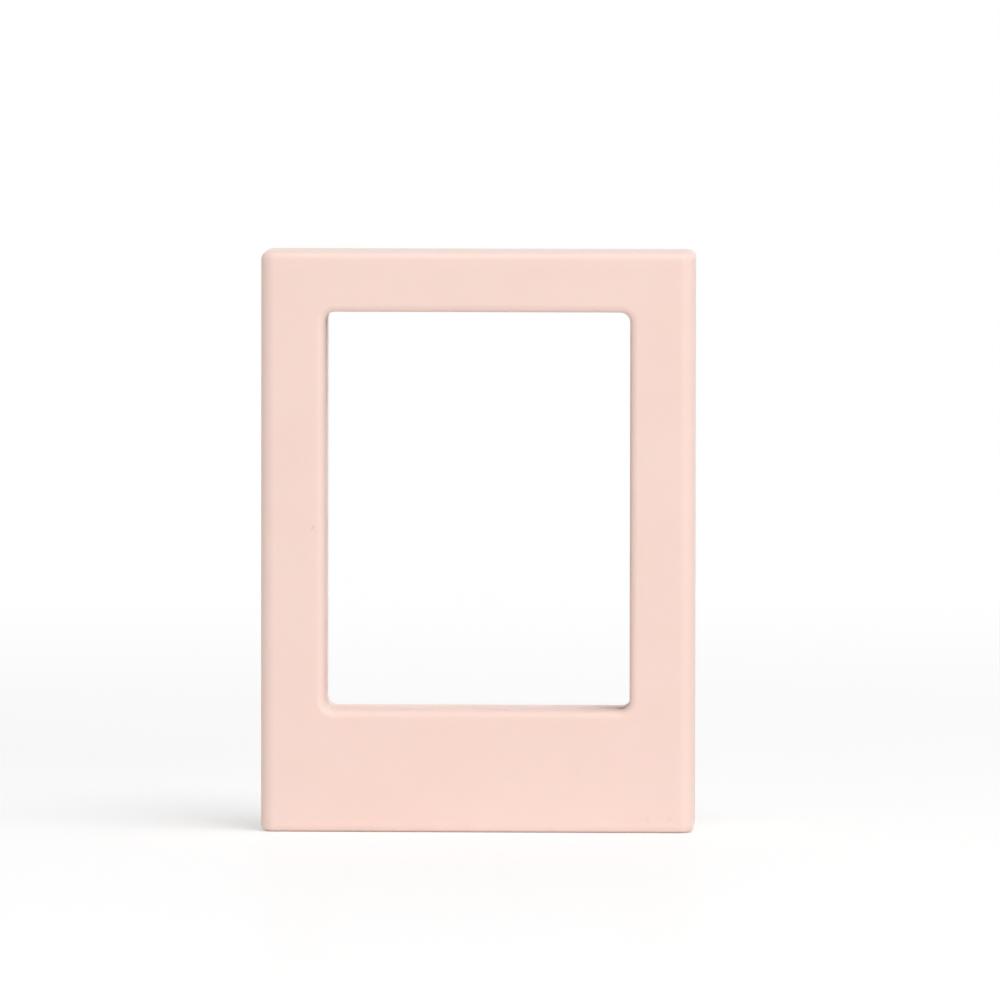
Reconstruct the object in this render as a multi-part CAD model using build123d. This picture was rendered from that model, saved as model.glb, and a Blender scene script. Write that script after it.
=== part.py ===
from build123d import *
import os

# A magnetic photo frame: two like halves, each a hollow moulded shell with a clear pane, an inner
# plate (the liner) and four disc magnets. The halves meet face to face and hold a small print between
# them. Lengths are in millimetres. The frame stands on its lower edge at z = 0, its front looks along
# -Y and the halves part at y = 0. A depth is counted from the parting plane towards a half's own face.

# The print that the frame is made round, with its picture nearer the top than the bottom.
print_width = 54.0
print_height = 86.0
print_thickness = 0.45
picture_side_border = 4.0
picture_upper_border = 7.05
picture_lower_border = 16.95

# Room round the print: in its seat, through the two halves together, and past the picture's edges.
print_clearance = 0.3
print_face_clearance = 0.15
print_seat_corner = 1.2
window_side_margin = 1.3
window_end_margin = 0.75

# The magnets, set a little below the parting plane so that the halves meet on their rims.
magnet_diameter = 5.0
magnet_thickness = 2.0
magnet_edge = 0.25
magnet_clearance = 0.1
magnet_setback = 0.2
pocket_wall = 0.45
pocket_end_wall = 1.6
post_wall = 0.9

# The shell of one half.
half_depth = 8.0
face_wall = 1.8
side_wall = 2.0
rim_wall = 1.0
end_rounding = 1.2
side_rounding_extra = 1.0
window_rounding = 1.3
window_corner = 1.6
seam_break = 0.25
channel_corner = 1.0
rib_thickness = 1.1
end_rib_count = 3
side_rib_count = 4

# The clear pane and the lip that frames it.
pane_thickness = 1.0
pane_lap = 1.3
pane_corner = 0.6
pane_clearance = 0.15
surround_lip = 1.0

# The liner, and the pegs that line one half up with the other.
liner_thickness = 1.2
liner_setback = 0.1
liner_clearance = 0.1
liner_corner = 1.2
liner_end_margin = 1.85
peg_diameter = 1.9
peg_clearance = 0.12
peg_tip_clearance = 0.3
peg_lead = 0.35

# Sizes that follow from the ones above.
pocket_diameter = magnet_diameter + 2 * magnet_clearance
print_seat_width = print_width + 2 * print_clearance
print_seat_height = print_height + 2 * print_clearance
liner_width = print_seat_width + 2 * (pocket_diameter + 2 * pocket_wall)
liner_height = print_seat_height + 2 * liner_end_margin
frame_width = liner_width + 2 * (liner_clearance + rim_wall)
frame_height = liner_height + 2 * (liner_clearance + rim_wall)
middle_height = frame_height / 2

side_rounding = end_rounding + side_rounding_extra
seat_depth = liner_setback + liner_thickness
pane_seat_depth = seat_depth + pane_thickness
pocket_depth = magnet_setback + magnet_thickness
channel_depth = half_depth - face_wall
print_seat_depth = (print_thickness + print_face_clearance) / 2

print_bottom = (frame_height - print_height) / 2
window_bottom = print_bottom + picture_lower_border - window_end_margin
window_top = print_bottom + print_height - picture_upper_border + window_end_margin
window_height = window_top - window_bottom
window_width = print_width + 2 * (window_side_margin - picture_side_border)
window_middle = (window_bottom + window_top) / 2
surround_width = pane_lap + pane_clearance + surround_lip

magnet_x = (print_seat_width + liner_width) / 4
magnet_from_end = (frame_height - liner_height) / 2 + pocket_end_wall + pocket_diameter / 2
magnet_heights = {"bottom": magnet_from_end, "top": frame_height - magnet_from_end}
magnet_sides = {"left": -magnet_x, "right": magnet_x}


def slab(width, height, near, far, across=0, up=middle_height, corner=0):
    """Flat block of the front half, between the depths near and far."""
    if corner:
        outline = RectangleRounded(width, height, corner)
    else:
        outline = Rectangle(width, height)
    return extrude(Plane.XZ.offset(near) * Pos(across, up) * outline, amount=far - near)


def disc(diameter, near, far, across, up):
    """Round block of the front half, between the depths near and far."""
    outline = Pos(across, up) * Circle(diameter / 2)
    return extrude(Plane.XZ.offset(near) * outline, amount=far - near)


def window(grown=0, near=0, far=half_depth, corner=window_corner):
    """Block as large as the window, or larger all round by the length grown."""
    return slab(
        window_width + 2 * grown, window_height + 2 * grown, near, far, up=window_middle, corner=corner
    )


def magnet_places():
    """Corner name, place across and height of each magnet of a half."""
    return [
        (f"{level}_{side}", across, up)
        for level, up in magnet_heights.items()
        for side, across in magnet_sides.items()
    ]


def outer_block():
    """Solid half with its rounded edges: the long edges are rounder than the ends."""
    block = slab(frame_width, frame_height, 0, half_depth)
    long_edges = block.edges().filter_by(Axis.Z).group_by(Axis.Y)[0]
    block = fillet(long_edges, side_rounding)
    ends = block.faces().sort_by(Axis.Z)
    end_edges = [edge for face in (ends[0], ends[-1]) for edge in face.edges().sort_by(Axis.Y)[:-1]]
    block = fillet(end_edges, end_rounding)
    seam_edges = block.faces().sort_by(Axis.Y)[-1].edges()
    return chamfer(seam_edges, seam_break)


def rib_bars():
    """Bars that leave ribs where they cross the channel behind the face."""
    end_pitch = (window_width + 2 * surround_width) / (end_rib_count + 1)
    side_pitch = window_height / (side_rib_count + 1)
    bars = []
    for place in range(end_rib_count):
        across = end_pitch * (place + 1 - (end_rib_count + 1) / 2)
        bars.append(slab(rib_thickness, frame_height, seat_depth, channel_depth, across=across))
    for place in range(side_rib_count):
        up = window_bottom + side_pitch * (place + 1)
        bars.append(slab(frame_width, rib_thickness, seat_depth, channel_depth, up=up))
    return bars


def channel():
    """Hollow behind the face, between the side walls and the window's surround."""
    hollow = slab(
        frame_width - 2 * side_wall,
        frame_height - 2 * side_wall,
        seat_depth,
        channel_depth,
        corner=channel_corner,
    )
    hollow -= window(surround_width, seat_depth, channel_depth, corner=window_corner + surround_width)
    for bar in rib_bars():
        hollow -= bar
    for _, across, up in magnet_places():
        hollow -= disc(pocket_diameter + 2 * post_wall, seat_depth, channel_depth, across, up)
    return hollow


def shell():
    """Moulded shell of the front half."""
    body = outer_block() - window()
    window_edges = body.faces().sort_by(Axis.Y)[0].inner_wires()[0].edges()
    body = fillet(window_edges, window_rounding)
    body -= slab(
        liner_width + 2 * liner_clearance,
        liner_height + 2 * liner_clearance,
        0,
        seat_depth,
        corner=liner_corner + liner_clearance,
    )
    body -= window(
        pane_lap + pane_clearance, seat_depth, pane_seat_depth, corner=pane_corner + pane_clearance
    )
    body -= channel()
    for _, across, up in magnet_places():
        body -= disc(pocket_diameter, 0, pocket_depth, across, up)
    return body


def pane():
    """Clear pane that closes the window of the front half."""
    return window(pane_lap, seat_depth, pane_seat_depth, corner=pane_corner)


def liner():
    """Inner plate of the front half, before its sockets or pegs."""
    plate = slab(liner_width, liner_height, liner_setback, seat_depth, corner=liner_corner)
    plate -= window()
    plate -= slab(
        print_seat_width, print_seat_height, 0, print_seat_depth, corner=print_seat_corner
    )
    for _, across, up in magnet_places():
        plate -= disc(pocket_diameter, 0, seat_depth, across, up)
    return plate


def liner_with_sockets():
    """Liner of the front half, with a round socket at mid-height on each side."""
    plate = liner()
    for across in magnet_sides.values():
        plate -= disc(peg_diameter + 2 * peg_clearance, 0, seat_depth, across, middle_height)
    return plate


def peg(across):
    """Peg that stands out of its liner and past the parting plane, with a tapered tip."""
    reach = seat_depth - peg_tip_clearance
    pin = disc(peg_diameter, -reach, seat_depth, across, middle_height)
    tip = pin.edges().sort_by(Axis.Y)[-1]
    return chamfer(tip, peg_lead)


def liner_with_pegs():
    """The other half's liner, which has a peg where this one has a socket."""
    plate = liner()
    for across in magnet_sides.values():
        plate += peg(across)
    return plate


def magnet(across, up):
    """Plated disc magnet, standing on the floor of its pocket."""
    puck = disc(magnet_diameter, magnet_setback, pocket_depth, across, up)
    return fillet(puck.edges().filter_by(GeomType.CIRCLE), magnet_edge)


def behind(piece):
    """The same piece in the rear half."""
    return mirror(piece, about=Plane.XZ)


def frame_pieces():
    """Every piece of the frame by its name."""
    pieces = {
        "front_shell": shell(),
        "front_pane": pane(),
        "front_liner": liner_with_sockets(),
        "rear_shell": behind(shell()),
        "rear_pane": behind(pane()),
        "rear_liner": behind(liner_with_pegs()),
    }
    for corner, across, up in magnet_places():
        pieces[f"front_magnet_{corner}"] = magnet(across, up)
        pieces[f"rear_magnet_{corner}"] = behind(magnet(across, up))
    return pieces


os.makedirs("parts", exist_ok=True)
for name, piece in frame_pieces().items():
    export_step(piece, f"parts/{name}.step")
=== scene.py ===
"""Looks of the magnetic photo frame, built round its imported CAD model.

The frame stands on its lower edge and its front looks along -Y. Two like halves meet at y = 0. Each half
is a moulded shell, a liner, a clear pane and four disc magnets. Geometry Nodes model the two shells and
the moulding marks on the liners. The other CAD nodes stay and get their finishes. Lengths are in metres.

A half is modelled in its plan: x goes across, y goes up the frame, and z is the depth, counted from the
parting plane towards the half's own face. It is then turned upright and put in its place.
"""

import logging
import math
from abc import ABC, abstractmethod
from collections.abc import Mapping
from dataclasses import dataclass, field
from enum import Enum
from typing import ClassVar

import bpy
from mathutils import Matrix, Vector


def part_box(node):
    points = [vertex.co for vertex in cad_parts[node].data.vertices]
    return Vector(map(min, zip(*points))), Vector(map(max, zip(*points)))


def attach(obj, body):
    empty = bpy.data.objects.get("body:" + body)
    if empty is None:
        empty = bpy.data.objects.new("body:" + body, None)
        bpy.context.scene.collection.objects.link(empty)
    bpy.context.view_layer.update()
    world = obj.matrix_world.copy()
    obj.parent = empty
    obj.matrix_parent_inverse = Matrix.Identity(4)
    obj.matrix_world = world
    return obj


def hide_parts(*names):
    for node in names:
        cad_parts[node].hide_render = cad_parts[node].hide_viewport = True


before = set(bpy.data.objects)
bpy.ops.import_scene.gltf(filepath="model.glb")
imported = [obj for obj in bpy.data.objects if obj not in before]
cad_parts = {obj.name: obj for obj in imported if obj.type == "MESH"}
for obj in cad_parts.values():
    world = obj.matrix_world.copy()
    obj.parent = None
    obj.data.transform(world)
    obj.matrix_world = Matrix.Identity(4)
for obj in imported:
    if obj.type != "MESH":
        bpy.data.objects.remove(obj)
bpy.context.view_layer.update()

log = logging.getLogger("photo_frame")

Socket = bpy.types.NodeSocket
Value = Socket | bpy.types.Material | float | int | bool | tuple | list
Colour = tuple[float, float, float]
Size = float | int | bool

MM = 0.001
WHITE: Colour = (1.0, 1.0, 1.0)


class Half(Enum):
    """The two halves of the frame, by the first word of their CAD nodes."""

    FRONT = "front"
    REAR = "rear"

    @property
    def body(self) -> str:
        """Name of the CAD body that this half is."""
        return f"{self.value}_half"

    def node(self, piece: str) -> str:
        """Name of this half's CAD node for a piece such as "shell"."""
        return f"{self.value}_{piece}"


class Slot(Enum):
    """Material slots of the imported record."""

    SHELL = "shell_plastic"
    LINER = "liner_plastic"
    PANE = "clear_pane"
    MAGNET = "magnet_plating"


def linear(red: int, green: int, blue: int) -> Colour:
    """Turns a colour as a screen shows it into the renderer's linear values.

    Args:
        red: Red from 0 to 255.
        green: Green from 0 to 255.
        blue: Blue from 0 to 255.

    Returns:
        The three linear values, each from 0 to 1.
    """

    def one(channel: int) -> float:
        """Linear value of one channel."""
        share = channel / 255
        return share / 12.92 if share <= 0.04045 else ((share + 0.055) / 1.055) ** 2.4

    return one(red), one(green), one(blue)


def opaque(colour: Value) -> Value:
    """The colour with an alpha of 1, or the socket as it is."""
    return colour if isinstance(colour, Socket) else (*colour, 1.0)


def linked(name: str, data: bpy.types.ID) -> bpy.types.Object:
    """Makes an object of the data and links it to the scene.

    Args:
        name: The object's name.
        data: Its mesh, lamp or camera.

    Returns:
        The new object.
    """
    made = bpy.data.objects.new(name, data)
    bpy.context.scene.collection.objects.link(made)
    return made


class Tree:
    """A node tree that is filled by short calls."""

    def __init__(self, tree: bpy.types.NodeTree) -> None:
        """Keeps the tree to fill."""
        self.tree = tree

    def add(
        self, kind: str, inputs: Mapping[str | int, Value] | None = None, **settings: object
    ) -> bpy.types.Node:
        """Adds one node, with its settings, values and links.

        Args:
            kind: Blender's name of the node's type.
            inputs: For each input, by name or place, a value, a socket to link, or several sockets.
            **settings: The node's own properties, which are set first.

        Returns:
            The new node.
        """
        node = self.tree.nodes.new(kind)
        for name, value in settings.items():
            setattr(node, name, value)
        for key, value in (inputs or {}).items():
            self.feed(self.input_of(node, key), value)
        return node

    def feed(self, target: Socket, value: Value) -> None:
        """Links sockets to an input, or sets the input's own value.

        Args:
            target: The input.
            value: A socket, a list of sockets, or a plain value.
        """
        if isinstance(value, Socket):
            self.tree.links.new(value, target)
        elif isinstance(value, list):
            for source in value:
                self.tree.links.new(source, target)
        else:
            target.default_value = value

    @staticmethod
    def input_of(node: bpy.types.Node, key: str | int) -> Socket:
        """Finds an input of a node.

        Args:
            node: The node.
            key: The input's place, or its name, where the one in use of that name is meant.

        Returns:
            The input's socket.
        """
        if isinstance(key, int):
            return node.inputs[key]
        return next(socket for socket in node.inputs if socket.name == key and socket.enabled)

    def math(self, operation: str, *values: Value) -> Socket:
        """Result of a Math node on the given values."""
        return self.add("ShaderNodeMath", dict(enumerate(values)), operation=operation).outputs[0]

    def vector(self, x: Value = 0.0, y: Value = 0.0, z: Value = 0.0) -> Socket:
        """Vector of three values."""
        return self.add("ShaderNodeCombineXYZ", {0: x, 1: y, 2: z}).outputs[0]

    def parts(self, vector: Socket) -> list[Socket]:
        """The three values of a vector."""
        return list(self.add("ShaderNodeSeparateXYZ", {0: vector}).outputs)

    def smooth_step(self, value: Socket, low: Value, high: Value) -> Socket:
        """Smooth step from 0 at one value to 1 at another."""
        inputs = {"Value": value, "From Min": low, "From Max": high}
        return self.add("ShaderNodeMapRange", inputs, interpolation_type="SMOOTHSTEP").outputs[0]

    def seen(self) -> Socket:
        """Tells the rays that show a surface from those that light others.

        Returns:
            1 for what the camera sees, itself, in a gloss or through clear plastic, and 0 otherwise.
        """
        rays = self.add("ShaderNodeLightPath").outputs
        seen = self.math("MAXIMUM", rays["Is Camera Ray"], rays["Is Transmission Ray"])
        return self.math("MAXIMUM", seen, rays["Is Glossy Ray"])


class Recipe(Tree):
    """Geometry Nodes tree with named sizes, and the plain mesh that it makes."""

    def __init__(self, name: str) -> None:
        """Starts an empty tree.

        Args:
            name: Name of the tree and of the piece that it makes.
        """
        super().__init__(bpy.data.node_groups.new(name, "GeometryNodeTree"))
        self.name = name
        self.start = self.tree.nodes.new("NodeGroupInput")
        self.values: dict[str, Size] = {}

    def size(self, name: str, value: Size) -> Socket:
        """Adds a named input to the tree.

        Args:
            name: The input's name.
            value: Its value in this piece.

        Returns:
            The socket that gives the value inside the tree.
        """
        kinds = {bool: "NodeSocketBool", int: "NodeSocketInt", float: "NodeSocketFloat"}
        socket = self.tree.interface.new_socket(name, in_out="INPUT", socket_type=kinds[type(value)])
        self.values[socket.identifier] = value
        return self.start.outputs[name]

    def times(self, length: Socket, factor: float) -> Socket:
        """A length times a plain number."""
        return self.math("MULTIPLY", length, factor)

    def less(self, length: Socket, *taken: tuple[float, Socket]) -> Socket:
        """A length with some multiples of other lengths taken off it.

        Args:
            length: The length to start from.
            *taken: How many times each other length is taken off, and that length.

        Returns:
            What is left.
        """
        for factor, other in taken:
            length = self.math("SUBTRACT", length, self.times(other, factor))
        return length

    def more(self, length: Socket, *added: tuple[float, Socket]) -> Socket:
        """A length with some multiples of other lengths added to it."""
        return self.less(length, *((-factor, other) for factor, other in added))

    def place(self) -> list[Socket]:
        """Place of each point across, up and in depth."""
        return self.parts(self.add("GeometryNodeInputPosition").outputs[0])

    def moved(self, geometry: Socket, x: Value = 0.0, y: Value = 0.0, z: Value = 0.0) -> Socket:
        """The geometry, moved by the given lengths."""
        inputs = {"Geometry": geometry, "Translation": self.vector(x, y, z)}
        return self.add("GeometryNodeTransform", inputs).outputs[0]

    def turned(self, geometry: Socket, angle: float) -> Socket:
        """The geometry, turned about the line that goes across the frame."""
        inputs = {"Geometry": geometry, "Rotation": (angle, 0.0, 0.0)}
        return self.add("GeometryNodeTransform", inputs).outputs[0]

    def loop(
        self, width: Socket, height: Socket, corner: Socket, steps: Socket, middle: Socket
    ) -> Socket:
        """Rounded rectangle in the plan.

        Args:
            width: Its width.
            height: Its height.
            corner: Radius of its corners.
            steps: Straight pieces of each corner.
            middle: Height of its middle.

        Returns:
            The closed curve.
        """
        inputs = {"Width": width, "Height": height}
        outline = self.add("GeometryNodeCurvePrimitiveQuadrilateral", inputs).outputs[0]
        return self.moved(self.rounded(outline, corner, steps), y=middle)

    def rounded(self, curve: Socket, radius: Socket, steps: Socket) -> Socket:
        """The curve with an arc of that radius at each corner."""
        inputs = {"Curve": curve, "Radius": radius, "Count": steps}
        return self.add("GeometryNodeFilletCurve", inputs, mode="POLY").outputs[0]

    def ended(self, curve: Socket, closed: bool) -> Socket:
        """The curve, closed into a loop or open."""
        inputs = {"Geometry": curve, "Cyclic": closed}
        return self.add("GeometryNodeSetSplineCyclic", inputs).outputs[0]

    def line(self, *points: Socket) -> Socket:
        """Open curve through four points in the plan.

        Args:
            *points: The four points in order.

        Returns:
            The curve.
        """
        inputs = {f"Point {place}": point for place, point in enumerate(points, start=1)}
        closed = self.add("GeometryNodeCurvePrimitiveQuadrilateral", inputs, mode="POINTS").outputs[0]
        return self.ended(closed, closed=False)

    def straight(self, start: Socket, end: Socket) -> Socket:
        """Straight line between two points."""
        inputs = {"Start": start, "End": end}
        return self.add("GeometryNodeCurvePrimitiveLine", inputs).outputs[0]

    def circle(self, radius: Socket, steps: Socket) -> Socket:
        """Circle round the origin of the plan."""
        inputs = {"Resolution": steps, "Radius": radius}
        return self.add("GeometryNodeCurvePrimitiveCircle", inputs).outputs[0]

    def swept(self, path: Socket, profile: Socket) -> Socket:
        """Skin of a profile that follows a flat path.

        Args:
            path: The flat curve to follow.
            profile: The curve that follows it: its x goes outwards and its -y goes up.

        Returns:
            The open mesh.
        """
        level = self.add("GeometryNodeSetCurveNormal", {"Curve": path}, mode="Z_UP").outputs[0]
        inputs = {"Curve": level, "Profile Curve": profile}
        return self.add("GeometryNodeCurveToMesh", inputs).outputs[0]

    def prism(self, outline: Socket, near: Value, far: Value) -> Socket:
        """Closed block that stands on an outline.

        Args:
            outline: The closed curve in the plan.
            near: Depth at which the block starts.
            far: Depth at which it ends.

        Returns:
            The closed mesh.
        """
        path = self.straight(self.vector(z=near), self.vector(z=far))
        inputs = {"Curve": path, "Profile Curve": outline, "Fill Caps": True}
        return self.add("GeometryNodeCurveToMesh", inputs).outputs[0]

    def edge(self, mesh: Socket, chosen: Value = True) -> Socket:
        """Curve along the chosen edges of a mesh."""
        inputs = {"Mesh": mesh, "Selection": chosen}
        return self.add("GeometryNodeMeshToCurve", inputs).outputs[0]

    def filled(self, *curves: Socket) -> Socket:
        """Flat faces between closed curves of the plan."""
        inputs = {"Curve": self.joined(*curves)}
        return self.add("GeometryNodeFillCurve", inputs, mode="NGONS").outputs[0]

    def joined(self, *parts: Socket) -> Socket:
        """Several geometries as one."""
        return self.add("GeometryNodeJoinGeometry", {"Geometry": list(parts)}).outputs[0]

    def flipped(self, mesh: Socket) -> Socket:
        """The mesh with its faces turned round."""
        return self.add("GeometryNodeFlipFaces", {"Mesh": mesh}).outputs[0]

    def cut(self, mesh: Socket, *cutters: Socket) -> Socket:
        """Takes closed blocks out of a closed mesh.

        Args:
            mesh: The closed mesh.
            *cutters: The blocks.

        Returns:
            The closed mesh that is left.
        """
        inputs = {"Mesh 1": mesh, "Mesh 2": list(cutters)}
        node = self.add("GeometryNodeMeshBoolean", inputs, operation="DIFFERENCE", solver="MANIFOLD")
        return node.outputs[0]

    def grid(self, width: Socket, height: Socket, across: Value, up: Value) -> Socket:
        """Points in rows and columns round the origin of the plan.

        Args:
            width: Length of a row.
            height: Length of a column.
            across: Number of points in a row.
            up: Number of points in a column.

        Returns:
            The points, as a mesh.
        """
        inputs = {"Size X": width, "Size Y": height, "Vertices X": across, "Vertices Y": up}
        return self.add("GeometryNodeMeshGrid", inputs).outputs[0]

    def repeated(self, piece: Socket, points: Socket) -> Socket:
        """A copy of the piece on each point, as real geometry."""
        placed = self.add("GeometryNodeInstanceOnPoints", {"Points": points, "Instance": piece})
        return self.add("GeometryNodeRealizeInstances", {"Geometry": placed.outputs[0]}).outputs[0]

    def bars(self, size: Socket, pitch: Socket, count: Socket) -> Socket:
        """Row of equal bars, with its middle at the origin.

        Args:
            size: A bar's size as a vector.
            pitch: Step from one bar to the next, as a vector.
            count: Number of bars.

        Returns:
            The bars as closed meshes.
        """
        back = self.times(self.math("SUBTRACT", count, 1), -0.5)
        first = self.add("ShaderNodeVectorMath", {0: pitch, "Scale": back}, operation="SCALE").outputs[0]
        inputs = {"Count": count, "Start Location": first, "Offset": pitch}
        points = self.add("GeometryNodeMeshLine", inputs).outputs[0]
        bar = self.add("GeometryNodeMeshCube", {"Size": size}).outputs[0]
        return self.repeated(bar, points)

    def end(self, geometry: Socket, material: bpy.types.Material) -> None:
        """Closes the tree with real instances and the material.

        Args:
            geometry: The finished piece.
            material: Its finish.
        """
        real = self.add("GeometryNodeRealizeInstances", {"Geometry": geometry}).outputs[0]
        dressed = self.add("GeometryNodeSetMaterial", {"Geometry": real, "Material": material})
        self.tree.interface.new_socket("Geometry", in_out="OUTPUT", socket_type="NodeSocketGeometry")
        self.add("NodeGroupOutput", {"Geometry": dressed.outputs[0]})

    def bake(self) -> bpy.types.Object:
        """Makes the piece that the tree describes, as a plain mesh.

        Returns:
            The object, at the origin, with no modifier left on it.
        """
        empty = bpy.data.meshes.new(self.name)
        piece = linked(self.name, empty)
        nodes = piece.modifiers.new("recipe", "NODES")
        nodes.node_group = self.tree
        for identifier, value in self.values.items():
            nodes[identifier] = value
        even = piece.modifiers.new("even_normals", "WEIGHTED_NORMAL")
        even.keep_sharp = True
        evaluated = piece.evaluated_get(bpy.context.evaluated_depsgraph_get())
        plain = bpy.data.meshes.new_from_object(evaluated)
        piece.modifiers.clear()
        piece.data = plain
        bpy.data.meshes.remove(empty)
        plain.name = self.name
        return piece


@dataclass(frozen=True)
class Block:
    """Box of a piece in the plan of its half, where a depth is counted from the parting plane."""

    left: float
    right: float
    bottom: float
    top: float
    near: float
    far: float

    @classmethod
    def of(cls, node: str) -> "Block":
        """Reads the box of a CAD node.

        Args:
            node: The node's name.

        Returns:
            Its box.
        """
        low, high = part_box(node)
        near, far = sorted((abs(low.y), abs(high.y)))
        return cls(low.x, high.x, low.z, high.z, near, far)

    @property
    def width(self) -> float:
        """Width of the box."""
        return self.right - self.left

    @property
    def height(self) -> float:
        """Height of the box."""
        return self.top - self.bottom

    @property
    def centre(self) -> tuple[float, float]:
        """Place across and height of the box's middle."""
        return (self.left + self.right) / 2, (self.bottom + self.top) / 2


@dataclass
class HalfPiece(ABC):
    """Piece of one half that a tree makes from named sizes."""

    kind: ClassVar[str]
    slot: ClassVar[Slot]

    half: Half
    recipe: Recipe = field(init=False, repr=False)
    size: dict[str, Socket] = field(init=False, repr=False)
    is_rear: Socket = field(init=False, repr=False)

    def __post_init__(self) -> None:
        """Starts the piece's tree, with its sizes as named inputs."""
        self.recipe = Recipe(self.half.node(self.kind))
        self.size = {name: self.recipe.size(name, value) for name, value in self.sizes().items()}
        self.is_rear = self.recipe.size("Rear half", self.half is Half.REAR)

    @abstractmethod
    def sizes(self) -> dict[str, Size]:
        """Sizes of the piece by the names that its tree gives them."""

    @abstractmethod
    def geometry(self) -> Socket:
        """The piece in the plan of its half."""

    def build(self, material: bpy.types.Material) -> bpy.types.Object:
        """Models the piece and puts it on its body.

        Args:
            material: Its finish.

        Returns:
            The piece as a plain mesh.
        """
        self.recipe.end(self.in_place(self.geometry()), material)
        piece = self.recipe.bake()
        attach(piece, self.half.body)
        return piece

    def in_place(self, plan: Socket) -> Socket:
        """Turns a plan upright, with its depth towards the half's own side.

        Args:
            plan: The geometry in the plan.

        Returns:
            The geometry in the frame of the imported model.
        """
        recipe = self.recipe
        mirrored = recipe.add("GeometryNodeTransform", {"Geometry": plan, "Scale": (1.0, 1.0, -1.0)})
        inputs = {"Switch": self.is_rear, "False": plan, "True": recipe.flipped(mirrored.outputs[0])}
        chosen = recipe.add("GeometryNodeSwitch", inputs, input_type="GEOMETRY").outputs[0]
        return recipe.turned(chosen, math.pi / 2)


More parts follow.
